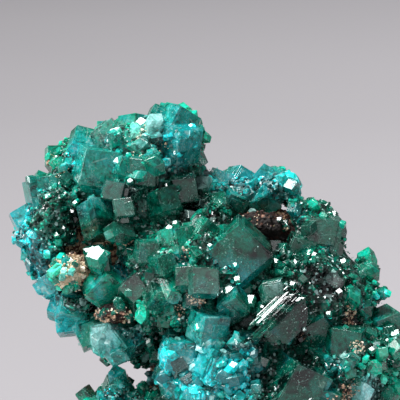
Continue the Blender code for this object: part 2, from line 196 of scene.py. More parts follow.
def seen(right, up, toward):
    """A point given in mm square to the line of sight, in world coordinates."""
    rise = up * math.cos(SIGHT_DOWN) + toward * math.sin(SIGHT_DOWN)
    depth = up * math.sin(SIGHT_DOWN) - toward * math.cos(SIGHT_DOWN)
    return Vector((right, depth, rise)) * MM


def surface_tree(*names):
    """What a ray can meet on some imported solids."""
    points = []
    faces = []
    for name in names:
        mesh = frame["nodes"][name].data
        start = len(points)
        points += [corner.co.copy() for corner in mesh.vertices]
        faces += [[start + index for index in face.vertices] for face in mesh.polygons]
    return BVHTree.FromPolygons(points, faces)


whole_surface = surface_tree("matrix", "dioptase_crystals")


def first_met(right, up):
    """The first point of the specimen on a line of sight, or one near its middle."""
    toward_viewer = seen(0.0, 0.0, 1.0).normalized()
    start = seen(right, up, SIGHT_START)
    met = whole_surface.ray_cast(start, -toward_viewer)[0]
    return met if met is not None else seen(right, up, MISSED_END)


def zone_share(points, zones):
    """How far each point lies in any of the zones, from 0 to 1."""
    outside = np.ones(len(points))
    for right, up, reach, strength in zones:
        centre = np.array(first_met(right, up))
        away = np.linalg.norm(points - centre, axis=1) / (reach * MM)
        outside *= 1.0 - strength * np.clip(ZONE_END - away, 0.0, 1.0)
    return 1.0 - outside


def feed(tree, target, inputs):
    """Set a node's inputs, by name or in order, each to a value, a hex colour, or the output
    that feeds it."""
    for key, value in inputs.items() if isinstance(inputs, dict) else enumerate(inputs):
        if isinstance(value, bpy.types.NodeSocket):
            tree.links.new(value, target.inputs[key])
        else:
            target.inputs[key].default_value = linear(value) if isinstance(value, str) else value


def node(tree, kind, inputs=(), stops=(), **settings):
    """Add a shader node with its settings and inputs, and give its outputs. Stops are the
    places and hex colours of a colour ramp."""
    made = tree.nodes.new("ShaderNode" + kind)
    for key, value in settings.items():
        setattr(made, key, value)
    feed(tree, made, inputs)
    if stops:
        points = made.color_ramp.elements
        while len(points) < len(stops):
            points.new(1.0)
        for point, (position, colour) in zip(points, stops):
            point.position = position
            point.color = linear(colour)
    return made.outputs


def new_material(name):
    """An empty material with its node tree, its shader and the Object coordinates."""
    made = bpy.data.materials.new(name)
    made.use_nodes = True
    tree = made.node_tree
    return made, tree, tree.nodes["Principled BSDF"], node(tree, "TexCoord")["Object"]


def limonite_quartz():
    """Stained granular quartz: dull, gritty, cream where fresh and rust-brown in its pores. In the
    dark zones it is darker, partly stain and partly painted shade.
    """
    made, tree, shader, place = new_material("limonite_quartz")
    stain = node(tree, "TexNoise", {
        "Vector": place, "Scale": 1.0 / ROCK_STAIN, "Detail": 6.0, "Roughness": 0.62})["Fac"]
    cells = node(tree, "TexVoronoi", {"Vector": place, "Scale": 1.0 / ROCK_GRAIN})
    cell = node(tree, "SeparateXYZ", (cells["Color"],))[0]
    # This value is also lowered in the dark zones: partly stain, partly painted shade.
    fresh = node(tree, "Attribute", attribute_name="fresh_and_shaded_rock")["Fac"]
    tone = node(tree, "Math", (stain, fresh), operation="ADD")[0]
    tone = node(tree, "Math", (cell, ROCK_GRAIN_TONE, tone), operation="MULTIPLY_ADD")[0]
    colour = node(tree, "ValToRGB", {"Fac": tone}, (
        (0.48, ROCK_DARK), (0.64, ROCK_RUST), (0.76, ROCK_TAN), (0.95, ROCK_CREAM)))["Color"]
    bump = node(tree, "Bump", {
        "Height": cells["Distance"], "Strength": 1.0, "Distance": ROCK_GRAIN_DEPTH}, invert=True)
    feed(tree, shader, {
        "Base Color": colour, "Normal": bump["Normal"], "Roughness": 0.82, "IOR": 1.54})
    return made


matrix_rock = merged_copy("matrix", "matrix_rock")
even_grid(matrix_rock, ROCK_GRID)
roughen(matrix_rock, ROCK_SINK, ROCK_BUMPS)
rock_points = read_points(matrix_rock.data)
fresh_and_shaded_rock = FRESH_TONE * zone_share(rock_points, CALCITE_ZONES)
# Painted shade and stain: the rock is made darker in the dark zones, the hollow among them.
fresh_and_shaded_rock -= STAIN_AND_SHADE_TONE * zone_share(rock_points, DARK_AND_SHADED_ZONES)
keep_values(matrix_rock.data, "fresh_and_shaded_rock", fresh_and_shaded_rock)
matrix_rock.data.materials.append(limonite_quartz())
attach(matrix_rock, "root")
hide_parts("matrix")


# Massive dioptase.
# The crust under the crystals is the same mineral without faces, a mottled green to
# turquoise mass full of small cracks. The crystals grow out of it, and it glows behind them.
CRUST_GRID = 0.36 * MM
CRUST_SINK = 0.42 * MM
CRUST_BUMPS = ((1.8, 0.42), (0.8, 0.30))
CRUST_GRAIN = 0.32 * MM
CRUST_GRAIN_SLOPE = 1.6
COLOUR_CLOUDS = 3.45 * MM
COLOUR_VEINS = 1.22 * MM
COLOUR_SPECKS = 0.303 * MM
DIOPTASE_IOR = 1.66
SHADOW_DEPTH = 0.85
EMERALD = "#07A684"
DEEP_GREEN = "#045546"
NIGHT_GREEN = "#021A15"
TEAL = "#0EBCA0"
TURQUOISE = "#22DDE6"
PALE_CYAN = "#D2FFFA"

# Painted shade: how light the crust's colour is deep in a hollow, how much an open place adds,
# and how fast it adds.
HOLLOW_SHADE = 0.25
OPEN_SHADE = 0.95
OPEN_CURVE = 1.3

# Rays out of each place, from just above it to 5 mm away, tell how open it is.
OPEN_RAYS = 10
OPEN_START = 0.3 * MM
OPEN_REACH = 5.0 * MM
OPEN_FORWARD = 1.05
OPEN_SEED = 5

# Where the dioptase is turquoise, and where it is pale: milky, nearly white, and on a few
# faces a painted reflection.
TURQUOISE_ZONES = [
    (-5.3, 39.0, 3.4, 0.6), (-4.2, 36.6, 2.2, 0.45), (-4.0, 39.2, 1.0, 0.9),
    (-24.8, 28.8, 2.6, 0.9), (-23.4, 24.6, 3.0, 0.9), (-21.6, 19.8, 3.0, 0.9),
    (-19.6, 16.4, 2.6, 0.85), (-24.0, 32.0, 1.6, 0.5), (-15.0, 36.0, 4.5, 0.2),
    (-17.2, 36.0, 1.8, 1.0), (-15.0, 32.3, 0.8, 0.9), (-16.0, 30.2, 1.2, 0.8),
    (0.4, 33.2, 2.6, 0.6), (3.9, 33.4, 2.6, 0.7), (7.4, 33.2, 2.4, 0.6),
    (0.8, 24.6, 1.7, 1.0), (1.9, 20.2, 1.0, 0.9), (-1.4, 16.6, 2.8, 0.45),
    (-5.8, 18.4, 0.9, 0.5), (-6.8, 11.6, 2.8, 0.85), (-3.2, 10.8, 2.8, 0.9),
    (-0.6, 13.0, 1.8, 1.0), (1.6, 10.4, 2.6, 0.8), (-7.4, 8.0, 2.6, 0.7),
    (-2.6, 8.0, 3.2, 0.75), (-8.4, 9.0, 1.0, 1.0), (-12.7, 10.0, 0.8, 0.9),
    (17.2, 8.2, 1.6, 0.8), (-14.4, 15.0, 1.5, 0.9), (-12.2, 22.3, 1.3, 0.9),
    (-9.0, 34.3, 0.5, 1.0), (-13.6, 7.4, 2.4, 0.55), (-12.4, 12.6, 3.0, 0.4),
    (13.4, 11.0, 1.4, 0.3), (-21.0, 33.0, 1.4, 0.35),
]
MILKY_AND_REFLECTION_ZONES = [
    (-14.6, 14.8, 1.8, 1.0), (17.4, 8.0, 1.8, 0.7), (5.9, 20.8, 0.9, 0.7),
    (5.8, 25.3, 0.9, 0.6), (-8.4, 9.0, 0.8, 0.8), (-9.2, 38.4, 1.6, 0.35),
    (13.2, 21.4, 0.8, 0.5), (-18.4, 21.8, 1.2, 0.3), (-9.4, 29.4, 0.8, 0.4),
]


def openness(spots, facing):
    """How much of the way out is free before each point, from 0 to 1."""
    draw = np.random.default_rng(OPEN_SEED)
    free = np.zeros(len(spots))
    ways = draw.normal(size=(OPEN_RAYS, 3))
    ways /= np.linalg.norm(ways, axis=1)[:, None]
    for index, (spot, normal) in enumerate(zip(spots, facing)):
        start = Vector(spot + normal * OPEN_START)
        for way in ways:
            out = Vector(normal * OPEN_FORWARD + way)
            free[index] += whole_surface.ray_cast(start, out, OPEN_REACH)[0] is None
    return free / OPEN_RAYS


def keep_growth(piece, centres, counts=None, shade=None, cloudiness=1.0, milk=0.0):
    """Keep on each corner point how turquoise, dark and milky it is, and its shade. With
    counts, the values belong to whole grains of so many points."""
    turquoise = np.clip(zone_share(centres, TURQUOISE_ZONES) * cloudiness, 0.0, 1.0)
    dark = zone_share(centres, DARK_AND_SHADED_ZONES)
    values = np.stack([turquoise, dark, np.maximum(zone_share(centres, MILKY_AND_REFLECTION_ZONES), milk)], 1)
    shades = np.ones(len(centres)) if shade is None else shade
    if counts is not None:
        values = np.repeat(values, counts, axis=0)
        shades = np.repeat(shades, counts)
    keep_values(piece.data, "growth_zone", values)
    keep_values(piece.data, "grain_shade", shades)


def toned(tree, colour, tone):
    """A colour made lighter or darker by a tone."""
    grey = node(tree, "CombineColor", (tone, tone, tone))[0]
    return node(tree, "Mix", {0: 1.0, 6: colour, 7: grey}, data_type="RGBA",
                blend_type="MULTIPLY")[2]


def fine_grains(tree, place, size, slope):
    """Small facets side by side, each tilted its own way: their height, and a random colour
    for each."""
    cells = node(tree, "TexVoronoi", {"Vector": place, "Scale": 1.0 / size})
    inside = node(tree, "VectorMath", (place, cells["Position"]), operation="SUBTRACT")[0]
    tilt = node(tree, "VectorMath", (cells["Color"], (0.5, 0.5, 0.5)), operation="SUBTRACT")[0]
    height = node(tree, "VectorMath", (inside, tilt), operation="DOT_PRODUCT")["Value"]
    height = node(tree, "Math", (height, slope), operation="MULTIPLY")[0]
    return height, node(tree, "SeparateXYZ", (cells["Color"],))


def dioptase_colour(tree, place):
    """Emerald to near black in the depths and in the dark zones, partly painted shade; turquoise
    where it is cloudy; pale where it is full of cracks, and as a painted reflection on a few
    faces."""
    zone = node(tree, "Attribute", attribute_name="growth_zone")["Vector"]
    turquoise, dark, milky = node(tree, "SeparateXYZ", (zone,))
    shade = node(tree, "Attribute", attribute_name="grain_shade")["Fac"]
    clouds = node(tree, "TexNoise", {
        "Vector": place, "Scale": 1.0 / COLOUR_CLOUDS, "Detail": 3.0})["Fac"]
    veins = node(tree, "TexNoise", {
        "Vector": place, "Scale": 1.0 / COLOUR_VEINS, "Detail": 5.0, "Roughness": 0.6,
        "Distortion": 0.8})["Fac"]
    specks = node(tree, "TexNoise", {
        "Vector": place, "Scale": 1.0 / COLOUR_SPECKS, "Detail": 3.0, "Roughness": 0.7})["Fac"]
    green = node(tree, "ValToRGB", {"Fac": veins}, (
        (0.35, DEEP_GREEN), (0.47, EMERALD), (0.61, TEAL)))["Color"]

    in_shadow = node(tree, "Math", (dark, SHADOW_DEPTH), operation="MULTIPLY")[0]
    deep_clouds = node(tree, "MapRange", {
        "Value": clouds, "From Min": 0.47, "From Max": 0.36, "To Max": 0.7})[0]
    depth = node(tree, "Math", (in_shadow, deep_clouds), operation="ADD", use_clamp=True)[0]
    colour = node(tree, "Mix", {0: depth, 6: green, 7: NIGHT_GREEN}, data_type="RGBA")[2]

    streaks = node(tree, "MapRange", {
        "Value": veins, "From Min": 0.34, "From Max": 0.56, "To Min": 0.25, "To Max": 1.35})[0]
    cloudy = node(tree, "Math", (turquoise, streaks), operation="MULTIPLY")[0]
    light_clouds = node(tree, "MapRange", {
        "Value": clouds, "From Min": 0.60, "From Max": 0.72, "To Max": 0.45})[0]
    cloudy = node(tree, "Math", (cloudy, light_clouds), operation="ADD", use_clamp=True)[0]
    colour = node(tree, "Mix", {0: cloudy, 6: colour, 7: TURQUOISE}, data_type="RGBA")[2]

    crests = node(tree, "MapRange", {
        "Value": veins, "From Min": 0.56, "From Max": 0.66, "To Max": 0.8})[0]
    crests = node(tree, "Math", (cloudy, crests), operation="MULTIPLY")[0]
    colour = node(tree, "Mix", {0: crests, 6: colour, 7: PALE_CYAN}, data_type="RGBA")[2]
    # Milky grains, and the painted reflection on a few faces, make it pale cyan.
    milk = node(tree, "MapRange", {
        "Value": veins, "From Min": 0.36, "From Max": 0.56, "To Min": 0.25, "To Max": 0.9})[0]
    milk = node(tree, "Math", (milky, milk), operation="MULTIPLY")[0]
    colour = node(tree, "Mix", {0: milk, 6: colour, 7: PALE_CYAN}, data_type="RGBA")[2]

    tone = node(tree, "MapRange", {
        "Value": specks, "From Min": 0.38, "From Max": 0.62, "To Min": 0.78, "To Max": 1.34})[0]
    # The grain shade holds each grain's own tone, and the painted shade of hollows.
    tone = node(tree, "Math", (shade, tone), operation="MULTIPLY")[0]
    return toned(tree, colour, tone)


def massive_dioptase_finish():
    """Cloudy dioptase: vitreous but dull with cracks, mottled by zones of turquoise."""
    made, tree, shader, place = new_material("massive_dioptase")
    height, cell = fine_grains(tree, place, CRUST_GRAIN, CRUST_GRAIN_SLOPE)
    bump = node(tree, "Bump", {"Height": height, "Strength": 1.0, "Distance": 1.0})
    tone = node(tree, "MapRange", {
        "Value": cell[0], "From Min": 0.1, "From Max": 1.0, "To Min": 0.25, "To Max": 1.6})[0]
    colour = toned(tree, dioptase_colour(tree, place), tone)
    # Painted glints: a few grains get pale cyan in their colour.
    sparkle = node(tree, "MapRange", {
        "Value": cell[1], "From Min": 0.90, "From Max": 0.97, "To Max": 0.6})[0]
    colour = node(tree, "Mix", {0: sparkle, 6: colour, 7: PALE_CYAN}, data_type="RGBA")[2]
    gloss = node(tree, "MapRange", {
        "Value": cell[2], "From Min": 0.2, "From Max": 0.9, "To Min": 0.08, "To Max": 0.5})[0]
    feed(tree, shader, {
        "Base Color": colour, "Normal": bump["Normal"], "Roughness": gloss, "IOR": DIOPTASE_IOR})
    return made


massive_dioptase = merged_copy("dioptase_crystals", "massive_dioptase")
even_grid(massive_dioptase, CRUST_GRID)
roughen(massive_dioptase, CRUST_SINK, CRUST_BUMPS)
crust_points = read_points(massive_dioptase.data)
crust_open = openness(crust_points, read_points(massive_dioptase.data, "normal"))
# Painted shade: the crust is darker in colour where it lies deep among the crystals.
crust_shade = HOLLOW_SHADE + OPEN_SHADE * crust_open ** OPEN_CURVE
keep_growth(massive_dioptase, crust_points, shade=crust_shade)
massive_dioptase.data.materials.append(massive_dioptase_finish())
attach(massive_dioptase, "root")
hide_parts("dioptase_crystals")


# Large crystals.
# Each is a six-sided prism of clear emerald-green dioptase with three nearly square end
# faces. They grew out of the crust, and smaller ones grew on each in the same direction.
TIP_ABOVE_HEAD = 0.62
RHOMB_TILT = math.radians(51.0)
UNEVEN_ENDS = (-0.035, 0.0)
EDGE_ROUNDING = 0.03 * MM
HIGHLIGHT_EDGE_WIDTH = 0.07 * MM
BROKEN_CORNERS = (0, 1)
BROKEN_RISE = (0.1, 1.2)
BROKEN_REACH = (0.84, 0.98)
LARGE_SHRINK = 0.985
LARGE_SEED = 11

# Low plates on the faces: how many, their share of the crystal's width, their rise in mm,
# their tilt in radians and their length in widths. Most lie on the end faces.
PLATES = (1, 4)
PLATE_SIZE = (0.40, 0.85)
PLATE_RISE = (0.02, 0.12)
PLATE_TILT = 0.035
PLATE_LENGTH = 1.5
PLATE_ROUNDING = 0.7 * EDGE_ROUNDING
PLATES_ON_ENDS = 0.7
END_PLATE_SLIDE = 0.55
SIDE_PLATE_SLIDE = 0.4
SIDE_PLATE_DROP = (-1.2, 0.1)

# The finish: how clear it is, how many growth lines to a mm across and along the crystal,
# and the sizes of the veils, flecks and cracks inside it.
CLEARNESS = 0.5
GROWTH_LINES = (6.0, 6.0, 0.84)
GROWTH_LINE_DEPTH = 0.06 * MM
VEIL_SIZE = 1.43 * MM
FLECK_PATCH = 2.63 * MM
LARGE_FLECK = 0.24 * MM
CRACK_SPACING = 1.923 * MM
FLECK_COLOUR = "#BCF8E8"

# Place of the head in mm, direction of the tip, turn in degrees, width and length in mm, and
# how light its green is: its own tone, with painted light on a few faces. The prism on the
# right is striated.
STRIATED_PRISM = ((9.2, 18.6, 8.8), (0.69, 0.65, -0.33), 56, 5.0, 9.0, 0.75)
LARGE_CRYSTALS = [
    ((-15.4, 35.4, 4.4), (-0.30, 0.55, 0.75), 10, 6.4, 9.0, 1.05),
    ((-17.0, 38.4, 1.0), (-0.25, 0.90, 0.35), 30, 4.0, 7.0, 1.1),
    ((-13.4, 39.2, 1.5), (0.10, 0.80, 0.60), 0, 4.4, 7.0, 1.1),
    ((-10.4, 40.0, 1.2), (0.00, 0.75, 0.66), 60, 4.2, 7.0, 1.1),
    ((-7.6, 41.0, 0.0), (-0.20, 0.90, 0.40), 20, 4.4, 7.0, 0.9),
    ((-5.4, 40.6, 0.8), (0.20, 0.70, 0.65), 50, 5.4, 8.0, 1.1),
    ((-5.2, 36.0, 3.0), (-0.10, -0.80, 0.55), 60, 5.2, 7.0, 0.8),
    ((-20.4, 36.4, -1.0), (-0.50, 0.70, 0.50), 20, 3.2, 6.0, 0.9),
    ((-22.2, 32.0, 1.0), (-0.55, 0.50, 0.66), 15, 5.2, 8.0, 0.9),
    ((-21.8, 33.2, -0.8), (-0.20, 0.90, 0.40), 20, 3.4, 6.0, 0.9),
    ((-13.2, 32.3, 7.0), (-0.42, 0.65, 0.63), 0, 3.2, 4.0, 0.5),
    ((-11.2, 30.3, 7.6), (0.45, 0.64, 0.62), 0, 3.1, 4.0, 0.65),
    ((-15.2, 29.8, 6.0), (-0.20, 0.80, 0.55), 60, 4.2, 7.0, 0.6),
    ((-8.6, 34.6, 5.6), (0.45, 0.40, 0.80), 0, 4.6, 7.0, 0.6),
    ((-7.4, 31.0, 6.4), (-0.30, 0.60, 0.70), 50, 4.2, 6.0, 0.55),
    ((-4.0, 32.6, 3.6), (0.60, 0.50, 0.60), 20, 4.4, 7.0, 0.85),
    ((-11.6, 35.0, 5.4), (-0.10, 0.75, 0.65), 30, 3.4, 6.0, 1.1),
    ((-24.4, 28.6, 0.0), (-0.75, 0.30, 0.60), 10, 4.2, 6.0, 1.05),
    ((-22.0, 24.8, 1.5), (-0.60, -0.10, 0.75), 35, 4.0, 6.0, 1.05),
    ((-21.4, 20.8, 1.0), (-0.70, 0.20, 0.66), 0, 3.8, 5.0, 1.1),
    ((-20.0, 17.6, 0.5), (-0.75, -0.10, 0.60), 30, 3.8, 6.0, 1.1),
    ((-13.4, 27.0, 7.4), (-0.90, 0.20, 0.40), 0, 2.4, 5.0, 0.55),
    ((-13.8, 22.9, 7.8), (0.61, -0.56, 0.56), 12, 2.9, 5.0, 0.4),
    ((-13.8, 21.2, 7.4), (0.15, 0.40, 0.88), 30, 5.2, 7.0, 1.35),
    ((-18.6, 17.6, 3.6), (-0.50, -0.20, 0.80), 15, 4.0, 6.0, 1.1),
    ((-19.0, 15.4, 1.5), (-0.60, -0.50, 0.60), 20, 3.8, 6.0, 1.1),
    ((-16.2, 13.8, 3.0), (-0.30, -0.60, 0.70), 10, 3.8, 6.0, 1.1),
    ((-14.6, 14.8, 5.0), (-0.55, 0.45, 0.66), 0, 4.4, 6.0, 2.0),
    ((-11.6, 13.6, 6.0), (0.30, -0.20, 0.90), 40, 5.4, 7.0, 1.1),
    ((-10.4, 21.0, 8.4), (0.00, 0.78, 0.62), 0, 3.8, 6.0, 0.5),
    ((-5.6, 19.0, 10.6), (0.35, -0.90, 0.30), 0, 2.0, 5.0, 1.5),
    ((-1.4, 21.8, 11.8), (0.55, 0.55, 0.63), 0, 4.5, 6.0, 0.45),
    ((-4.9, 22.2, 11.6), (-0.55, 0.50, 0.66), 0, 3.2, 5.0, 0.6),
    ((-5.4, 26.4, 9.8), (-0.10, 0.60, 0.80), 60, 4.4, 6.0, 1.2),
    ((-9.2, 25.0, 9.2), (-0.40, 0.50, 0.80), 5, 3.6, 6.0, 0.65),
    ((-2.0, 27.6, 8.4), (0.30, 0.70, 0.66), 45, 3.8, 6.0, 0.9),
    ((-1.8, 24.6, 9.4), (0.40, 0.45, 0.80), 20, 3.8, 6.0, 0.9),
    ((0.2, 27.0, 7.6), (-0.10, 0.80, 0.60), 50, 3.2, 6.0, 0.9),
    ((-7.2, 23.4, 11.0), (-0.35, 0.45, 0.82), 35, 3.2, 6.0, 0.65),
    ((-7.8, 19.2, 10.6), (-0.15, -0.10, 0.95), 15, 3.4, 6.0, 0.7),
    ((2.0, 25.9, 8.8), (0.02, 0.70, 0.71), 0, 8.0, 10.0, 0.65),
    ((6.4, 20.6, 10.2), (0.40, 0.60, 0.70), 0, 3.4, 5.0, 0.9),
    ((1.4, 18.8, 11.0), (0.10, 0.30, 0.95), 10, 4.0, 6.0, 0.7),
    STRIATED_PRISM,
    ((11.2, 15.8, 7.2), (0.30, 0.40, 0.86), 30, 7.6, 10.0, 0.55),
    ((11.3, 27.3, 2.8), (-0.42, 0.58, 0.70), 0, 6.1, 8.0, 0.5),
    ((9.0, 25.4, 3.6), (-0.30, 0.60, 0.75), 0, 4.2, 6.0, 0.7),
    ((14.6, 22.8, 2.4), (0.60, 0.50, 0.60), 40, 3.6, 6.0, 0.65),
    ((15.8, 19.8, 3.0), (0.75, 0.50, 0.45), 10, 4.4, 7.0, 0.65),
    ((20.2, 16.3, 1.6), (0.60, 0.60, 0.50), 35, 5.0, 7.0, 0.9),
    ((15.4, 14.4, 8.4), (0.50, 0.40, 0.76), 0, 5.2, 7.0, 0.65),
    ((8.4, 10.0, 11.2), (0.05, 0.60, 0.80), 30, 8.0, 9.0, 1.1),
    ((12.8, 7.2, 10.4), (0.55, 0.30, 0.78), 0, 5.8, 8.0, 0.55),
    ((16.8, 8.2, 8.6), (0.95, 0.15, 0.30), 15, 3.2, 6.0, 1.6),
    ((22.0, 9.0, 1.0), (0.85, 0.30, 0.45), 45, 5.0, 7.0, 0.6),
    ((20.4, 4.4, 5.0), (0.65, -0.20, 0.70), 20, 5.2, 7.0, 0.6),
    ((21.6, 12.4, -2.5), (0.80, 0.50, 0.10), 20, 4.6, 7.0, 0.9),
    ((-0.4, 33.4, -2.6), (-0.20, 0.75, 0.60), 10, 4.0, 6.0, 0.9),
    ((2.2, 33.7, -3.4), (0.10, 0.85, 0.50), 35, 4.4, 6.0, 0.9),
    ((5.2, 33.9, -4.0), (-0.10, 0.85, 0.50), 0, 4.2, 6.0, 0.9),
    ((7.4, 33.1, -3.8), (0.55, 0.65, 0.50), 50, 4.2, 6.0, 0.9),
    ((5.2, 31.0, -1.5), (0.20, 0.40, 0.88), 25, 4.2, 6.0, 0.9),
    ((1.2, 30.8, -0.5), (-0.10, 0.40, 0.90), 5, 3.8, 6.0, 0.9),
    ((10.8, 29.0, -1.0), (0.40, 0.75, 0.50), 20, 4.0, 6.0, 0.9),
    ((-1.8, 16.2, 11.8), (-0.10, 0.40, 0.90), 30, 5.0, 6.0, 0.9),
    ((-5.6, 13.2, 10.4), (-0.40, 0.45, 0.80), 0, 5.0, 7.0, 0.9),
    ((-0.6, 12.0, 12.2), (0.10, 0.65, 0.75), 45, 5.2, 7.0, 0.9),
    ((3.4, 13.4, 12.0), (0.30, 0.20, 0.92), 15, 4.6, 6.0, 0.65),
    ((-2.8, 8.0, 11.8), (-0.10, 0.30, 0.95), 30, 5.4, 7.0, 0.9),
    ((-6.4, 9.2, 9.4), (-0.60, 0.40, 0.66), 10, 3.8, 6.0, 0.9),
    ((-12.9, 8.8, 2.0), (-0.30, 0.60, 0.75), 0, 3.8, 6.0, 0.9),
    ((-12.6, 10.4, 3.4), (-0.20, 0.95, 0.20), 0, 2.2, 5.0, 0.9),
    ((-14.0, 5.6, 1.5), (-0.75, 0.40, 0.50), 35, 4.0, 6.0, 0.9),
    ((-9.6, 4.2, 7.5), (-0.40, 0.30, 0.86), 20, 4.8, 7.0, 0.9),
    ((2.2, 4.6, 12.0), (0.00, 0.20, 0.97), 5, 5.6, 7.0, 0.8),
    ((16.0, 3.4, 9.0), (0.20, -0.20, 0.95), 40, 5.2, 7.0, 0.6),
    ((-3.6, 3.4, 11.0), (-0.30, -0.20, 0.90), 15, 4.6, 7.0, 0.9),
    ((-13.6, 37.2, -5.0), (-0.30, 0.80, -0.50), 0, 4.4, 7.0, 0.9),
    ((-8.6, 38.6, -5.0), (0.20, 0.85, -0.45), 30, 4.6, 7.0, 0.9),
    ((-19.6, 32.4, -5.0), (-0.70, 0.50, -0.50), 20, 4.2, 7.0, 0.9),
    ((-3.4, 36.6, -5.0), (0.60, 0.50, -0.60), 10, 4.2, 7.0, 0.9),
    ((-23.0, 25.4, -3.5), (-0.85, 0.10, -0.45), 40, 4.0, 6.0, 0.9),
    ((13.2, 23.0, -3.0), (0.70, 0.50, -0.40), 15, 4.0, 6.0, 0.9),
    ((17.4, 17.0, -4.0), (0.75, 0.55, -0.30), 30, 4.4, 6.0, 0.9),
]

# The striated prism has a bundle of thin laths on its face, grown side by side: how many,
# their sizes and places in mm, and their twist in degrees.
LATHS = 14
LATH_STEP = 0.20
LATH_WIDTH = (0.2, 0.5)
LATH_LENGTH = (4.5, 7.0)
LATH_SINK = (0.0, 0.4)
LATH_DROP = (0.2, 2.0)
LATH_TWIST = (4.0, 15.0)
LATH_SHADE = 0.6


def taken_shape():
    """The points and faces of the shape in edit mode, and which faces are narrow edge strips that
    get a painted highlight. Its object is then removed."""
    bpy.ops.mesh.select_all(action="SELECT")
    bpy.ops.mesh.normals_make_consistent(inside=False)
    bpy.ops.object.mode_set(mode="OBJECT")
    made = bpy.context.object
    only(made)
    bpy.ops.object.transform_apply(location=True, rotation=True, scale=True)
    mesh = made.data
    points = read_points(mesh)
    faces = []
    edge_highlights = []
    for face in mesh.polygons:
        corners = [mesh.vertices[index].co for index in face.vertices]
        edges = [(one - other).length for one, other in zip(corners, corners[1:] + corners[:1])]
        faces.append(list(face.vertices))
        edge_highlights.append(face.area < HIGHLIGHT_EDGE_WIDTH * max(edges))
    bpy.data.objects.remove(made)
    bpy.data.meshes.remove(mesh)
    return points, faces, edge_highlights


def cut_off(place, facing):
    """Cut off what lies beyond a plane, and close the cut."""
    bpy.ops.mesh.select_all(action="SELECT")
    bpy.ops.mesh.bisect(plane_co=place, plane_no=facing, use_fill=True, clear_outer=True)


def cut_crystal(width, length, rounding, broken, draw):
    """One crystal along Z with its head at the origin, some corners broken off, as points
    and faces."""
    radius = width / math.sqrt(3.0)
    tip_height = TIP_ABOVE_HEAD * radius
    only()
    bpy.ops.mesh.primitive_cylinder_add(
        vertices=6, radius=radius, depth=length,
        location=(0.0, 0.0, tip_height - length / 2.0), rotation=(0.0, 0.0, math.pi / 6.0))
    bpy.ops.object.mode_set(mode="EDIT")
    for end in (1.0, -1.0):
        peak = tip_height if end > 0.0 else tip_height - length
        for step in range(3):
            around = math.tau * (step + (0.0 if end > 0.0 else 0.5)) / 3.0
            facing = Vector((
                math.sin(RHOMB_TILT) * math.cos(around),
                math.sin(RHOMB_TILT) * math.sin(around),
                math.cos(RHOMB_TILT) * end))
            cut_off(Vector((0.0, 0.0, peak)) + facing * draw.uniform(*UNEVEN_ENDS) * width, facing)
    for _ in range(broken):
        facing = Vector((draw.gauss(0.0, 1.0), draw.gauss(0.0, 1.0), draw.uniform(*BROKEN_RISE)))
        facing.normalize()
        cut_off(facing * width * 0.5 * draw.uniform(*BROKEN_REACH), facing)
    if rounding:
        bpy.ops.mesh.select_all(action="SELECT")
        bpy.ops.mesh.bevel(offset=rounding, segments=1, affect="EDGES", clamp_overlap=True)
    return taken_shape()


def turned_to(tip, turn):
    """The rotation that lays a crystal's long axis along its tip direction."""
    axis = seen(*tip).normalized()
    viewer = seen(0.0, 0.0, 1.0).normalized()
    lean = (viewer - axis * viewer.dot(axis)).normalized()
    upright = Matrix((lean, axis.cross(lean), axis)).transposed()
    return upright @ Matrix.Rotation(math.radians(turn), 3, "Z")


def joined_piece(name, crystals):
    """One mesh of many crystals, each given as its shape, place, rotation and size. Each keeps
    its own coordinates, in mm, for its growth lines."""
    points = []
    inside = []
    corners = []
    loops = []
    edge_highlights = []
    start = 0
    for (own, faces, narrow), place, rotation, size in crystals:
        edge_highlights.extend(narrow)
        points.append(own * size @ np.array(rotation).T + np.array(place))
        inside.append(own * size / MM)
        for face in faces:
            corners.extend([start + index for index in face])
            loops.append(len(face))
        start += len(own)
    points = np.clip(np.concatenate(points), cad_low, cad_high)
    mesh = bpy.data.meshes.new(name)
    mesh.vertices.add(len(points))
    mesh.vertices.foreach_set("co", points.ravel())
    mesh.loops.add(len(corners))
    mesh.loops.foreach_set("vertex_index", corners)
    mesh.polygons.add(len(loops))
    starts = np.concatenate([[0], np.cumsum(loops)[:-1]])
    mesh.polygons.foreach_set("loop_start", starts)
    mesh.update(calc_edges=True)
    mesh.shade_flat()
    keep_values(mesh, "painted_edge_highlight", np.array(edge_highlights, float), "FACE")
    keep_values(mesh, "in_crystal", np.concatenate(inside))
    return in_scene(name, mesh)


